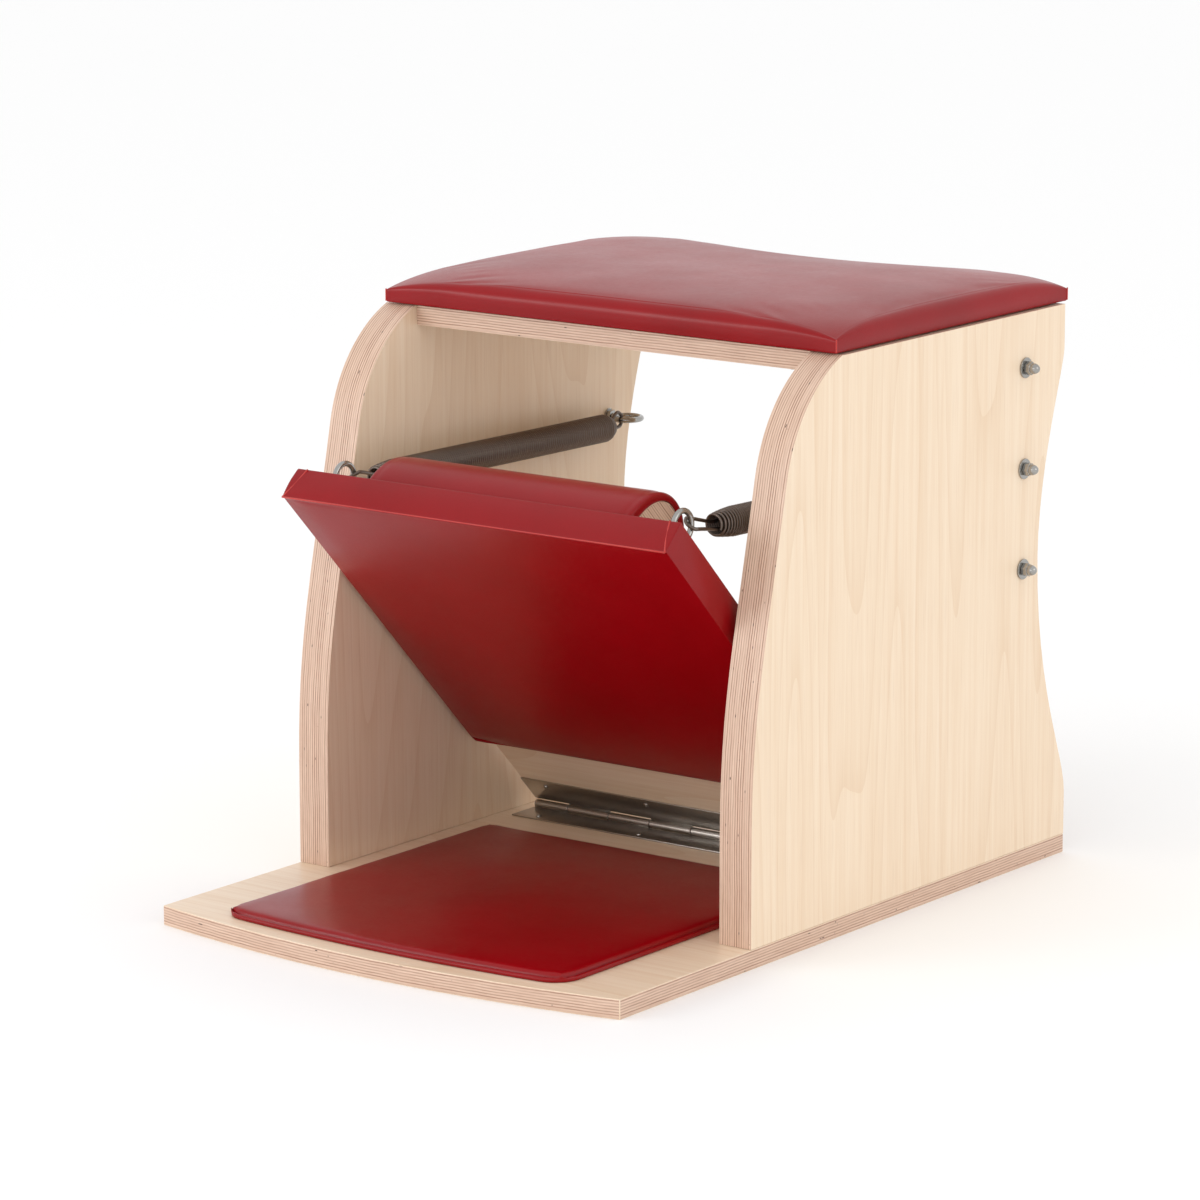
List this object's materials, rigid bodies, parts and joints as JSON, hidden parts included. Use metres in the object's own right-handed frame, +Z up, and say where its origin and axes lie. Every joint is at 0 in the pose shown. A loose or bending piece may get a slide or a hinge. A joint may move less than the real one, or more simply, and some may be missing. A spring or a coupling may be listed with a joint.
{
  "type": "low pilates chair with sprung pedal",
  "caption": "Plywood box chair with a red upholstered seat, a foot mat and a hinged padded pedal held up by coil springs.",
  "frame": {"origin": "on the floor under the middle of the whole object's footprint", "axes": "+Z up, -Y to the front where the pedal opens, +X to the sitter's side that is on the right when seen from the front"},
  "size_m": [0.638, 0.856, 0.657],
  "materials": {
    "maple_ply": "satin clear lacquer over maple-faced ply, edges showing the plies",
    "bare_ply": "bare plywood",
    "red_leather": "smooth red upholstery leather with a soft sheen",
    "stainless": "brushed stainless",
    "bright_zinc": "bright zinc plate",
    "spring_steel": "blackened spring steel"
  },
  "bodies": {
    "frame": {"base_board": "maple_ply", "side_panel_left": "maple_ply", "side_panel_right": "maple_ply", "seat_board": "maple_ply", "seat_pad_board": "bare_ply", "seat_pad": "red_leather", "base_pad": "red_leather", "hinge_leaf_base": "stainless", "hinge_pin": "stainless", "base_hinge_screw_1": "stainless", "base_hinge_screw_2": "stainless", "base_hinge_screw_3": "stainless", "base_hinge_screw_4": "stainless", "seat_screw_1": "bright_zinc", "seat_screw_2": "bright_zinc", "seat_screw_3": "bright_zinc", "seat_screw_4": "bright_zinc", "frame_eyebolt_left_bottom": "bright_zinc", "frame_eye_nut_left_bottom": "bright_zinc", "frame_washer_left_bottom": "bright_zinc", "frame_cap_nut_left_bottom": "bright_zinc", "frame_eyebolt_left_middle": "bright_zinc", "frame_eye_nut_left_middle": "bright_zinc", "frame_washer_left_middle": "bright_zinc", "frame_cap_nut_left_middle": "bright_zinc", "frame_eyebolt_left_top": "bright_zinc", "frame_eye_nut_left_top": "bright_zinc", "frame_washer_left_top": "bright_zinc", "frame_cap_nut_left_top": "bright_zinc", "frame_eyebolt_right_bottom": "bright_zinc", "frame_eye_nut_right_bottom": "bright_zinc", "frame_washer_right_bottom": "bright_zinc", "frame_cap_nut_right_bottom": "bright_zinc", "frame_eyebolt_right_middle": "bright_zinc", "frame_eye_nut_right_middle": "bright_zinc", "frame_washer_right_middle": "bright_zinc", "frame_cap_nut_right_middle": "bright_zinc", "frame_eyebolt_right_top": "bright_zinc", "frame_eye_nut_right_top": "bright_zinc", "frame_washer_right_top": "bright_zinc", "frame_cap_nut_right_top": "bright_zinc"},
    "pedal": {"pedal_board": "maple_ply", "pedal_pad": "red_leather", "pedal_step_block": "maple_ply", "pedal_step_cover": "red_leather", "hinge_leaf_pedal": "stainless", "pedal_hinge_screw_1": "stainless", "pedal_hinge_screw_2": "stainless", "pedal_hinge_screw_3": "stainless", "pedal_hinge_screw_4": "stainless", "pedal_eyebolt_left": "bright_zinc", "pedal_eyebolt_right": "bright_zinc", "pedal_tee_nut_left": "bright_zinc", "pedal_tee_nut_right": "bright_zinc"},
    "spring_left_rear": {"spring_rear_loop_left": "spring_steel"},
    "spring_left_coil": {"spring_coil_left": "spring_steel"},
    "spring_left_front": {"spring_front_loop_left": "spring_steel"},
    "spring_right_rear": {"spring_rear_loop_right": "spring_steel"},
    "spring_right_coil": {"spring_coil_right": "spring_steel"},
    "spring_right_front": {"spring_front_loop_right": "spring_steel"}
  },
  "joints": [
    {"name": "pedal_hinge", "type": "hinge", "parent": "frame", "child": "pedal", "pos_m": [0, 0.1736, 0.0263], "axis": [1, 0, 0], "range_deg": [0, 37], "stiffness_Nm_per_rad": 40, "springref_deg": -91.67},
    {"name": "spring_left_swing", "type": "hinge", "parent": "frame", "child": "spring_left_rear", "pos_m": [-0.2329, 0.3195, 0.446], "axis": [0.9996, 0.0228, -0.0141], "range_deg": [0, 25]},
    {"name": "spring_left_stretch", "type": "slide", "parent": "spring_left_rear", "child": "spring_left_coil", "axis": [0.023, -0.9995, 0.0197], "range_m": [0, 0.25], "deforming": ["spring_coil_left"]},
    {"name": "spring_left_hook_turn", "type": "hinge", "parent": "pedal", "child": "spring_left_front", "pos_m": [-0.2213, -0.18386, 0.45591], "axis": [1, 0, 0], "range_deg": [-14, 0]},
    {"name": "spring_right_swing", "type": "hinge", "parent": "frame", "child": "spring_right_rear", "pos_m": [0.2329, 0.3195, 0.446], "axis": [0.9996, -0.0228, 0.0141], "range_deg": [0, 25]},
    {"name": "spring_right_stretch", "type": "slide", "parent": "spring_right_rear", "child": "spring_right_coil", "axis": [-0.023, -0.9995, 0.0197], "range_m": [0, 0.25], "deforming": ["spring_coil_right"]},
    {"name": "spring_right_hook_turn", "type": "hinge", "parent": "pedal", "child": "spring_right_front", "pos_m": [0.2213, -0.18386, 0.45591], "axis": [1, 0, 0], "range_deg": [-14, 0]}
  ],
  "couplings": [
    {"joint": "spring_left_swing", "follows": "pedal_hinge", "ratio": 0.64993},
    {"joint": "spring_left_stretch", "follows": "pedal_hinge", "m_per_rad": 0.38026},
    {"joint": "spring_left_hook_turn", "follows": "pedal_hinge", "ratio": -0.35007},
    {"joint": "spring_right_swing", "follows": "pedal_hinge", "ratio": 0.64993},
    {"joint": "spring_right_stretch", "follows": "pedal_hinge", "m_per_rad": 0.38026},
    {"joint": "spring_right_hook_turn", "follows": "pedal_hinge", "ratio": -0.35007}
  ]
}
